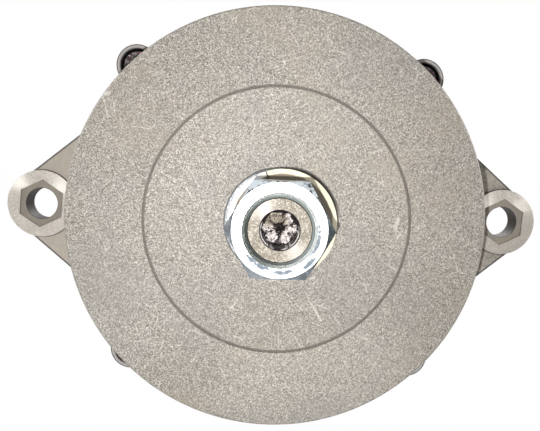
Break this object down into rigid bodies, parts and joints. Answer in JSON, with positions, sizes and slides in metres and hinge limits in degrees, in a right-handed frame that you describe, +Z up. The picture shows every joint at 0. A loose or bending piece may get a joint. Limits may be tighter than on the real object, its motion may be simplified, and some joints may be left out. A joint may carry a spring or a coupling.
{
  "type": "alternator",
  "caption": "Vehicle alternator with a flat-faced outer cooling fan, opposed mounting ears, claw-pole rotor, wound stator, sprung brushes and a covered rear rectifier.",
  "frame": {"origin": "on the shaft axis, in the plane of the rear faces of the two mounting ears", "axes": "+Y along the shaft from the fan to the rear cover, +Z up, +X through the right ear as seen from the fan side"},
  "size_m": [0.2056, 0.2061, 0.14],
  "materials": {
    "cast_aluminium": "sand cast, satin",
    "fan_casting": "die cast, grainy",
    "machined_steel": "turned",
    "zinc_plate": "bright zinc plate",
    "bearing_steel": "ground",
    "cage_steel": "pressed",
    "seal_rubber": "matt",
    "pole_steel": "forged, varnished",
    "lamination": "stacked sheet",
    "enamel_copper": "enamelled wire",
    "slip_copper": "turned copper",
    "moulding": "glass filled moulding",
    "carbon": "pressed carbon",
    "spring_steel": "drawn wire",
    "fastener": "zinc plate",
    "sink_aluminium": "pressed",
    "diode_can": "nickel plate",
    "diode_black": "moulded",
    "tinned_brass": "tinned",
    "cover_coat": "black coated pressed steel"
  },
  "bodies": {
    "frame": {"bearing_retainer": "cage_steel", "brush_holder": "moulding", "brush_spring_front": "spring_steel", "brush_spring_rear": "spring_steel", "cover_screws": "fastener", "drive_end_housing": "cast_aluminium", "exciter_diodes": "diode_black", "front_bearing_outer_ring": "bearing_steel", "front_bearing_seals": "seal_rubber", "ground_diodes": "diode_can", "ground_heat_sink": "sink_aluminium", "ground_nut": "fastener", "ground_stud": "fastener", "heat_sink_spacers": "moulding", "holder_screws": "fastener", "output_bush": "moulding", "output_diodes": "diode_can", "output_heat_sink": "sink_aluminium", "output_nut": "fastener", "output_stud": "fastener", "output_washer": "fastener", "rear_bearing_outer_ring": "bearing_steel", "rear_bearing_seals": "seal_rubber", "rear_cover": "cover_coat", "rear_housing": "cast_aluminium", "rectifier_screws": "fastener", "regulator": "moulding", "regulator_pins": "tinned_brass", "retainer_screws": "fastener", "stator_core": "lamination", "stator_leads": "enamel_copper", "stator_phase_1": "enamel_copper", "stator_phase_2": "enamel_copper", "stator_phase_3": "enamel_copper", "suppression_capacitor": "sink_aluminium", "terminal_board": "moulding", "through_bolts": "fastener"},
    "rotor": {"shaft": "machined_steel", "shaft_nut": "zinc_plate", "spring_washer": "zinc_plate", "flat_washer": "machined_steel", "fan": "fan_casting", "spacer_collar": "machined_steel", "front_bearing_inner_ring": "bearing_steel", "front_claw_pole": "pole_steel", "rear_claw_pole": "pole_steel", "rotor_core": "pole_steel", "coil_bobbin": "moulding", "field_coil": "enamel_copper", "rear_bearing_inner_ring": "bearing_steel", "slip_ring_insulator": "moulding", "slip_ring_front": "slip_copper", "slip_ring_rear": "slip_copper"},
    "front_bearing_cage": {"front_bearing_cage": "cage_steel", "front_bearing_balls": "bearing_steel"},
    "rear_bearing_cage": {"rear_bearing_cage": "cage_steel", "rear_bearing_balls": "bearing_steel"},
    "brush_front": {"brush_front": "carbon"},
    "brush_rear": {"brush_rear": "carbon"}
  },
  "joints": [
    {"name": "rotor_spin", "type": "hinge", "parent": "frame", "child": "rotor", "pos_m": [0, 0, 0], "axis": [0, 1, 0], "continuous": true},
    {"name": "front_bearing_cage_spin", "type": "hinge", "parent": "frame", "child": "front_bearing_cage", "pos_m": [0, 0, 0], "axis": [0, 1, 0], "continuous": true},
    {"name": "rear_bearing_cage_spin", "type": "hinge", "parent": "frame", "child": "rear_bearing_cage", "pos_m": [0, 0, 0], "axis": [0, 1, 0], "continuous": true},
    {"name": "brush_front_slide", "type": "slide", "parent": "frame", "child": "brush_front", "axis": [0, 0, 1], "range_m": [0, 0.005], "stiffness_N_per_m": 250, "springref_m": -0.012, "deforming": ["brush_spring_front"]},
    {"name": "brush_rear_slide", "type": "slide", "parent": "frame", "child": "brush_rear", "axis": [0, 0, 1], "range_m": [0, 0.005], "stiffness_N_per_m": 250, "springref_m": -0.012, "deforming": ["brush_spring_rear"]}
  ],
  "couplings": [
    {"joint": "front_bearing_cage_spin", "follows": "rotor_spin", "ratio": 0.3679},
    {"joint": "rear_bearing_cage_spin", "follows": "rotor_spin", "ratio": 0.3819}
  ]
}
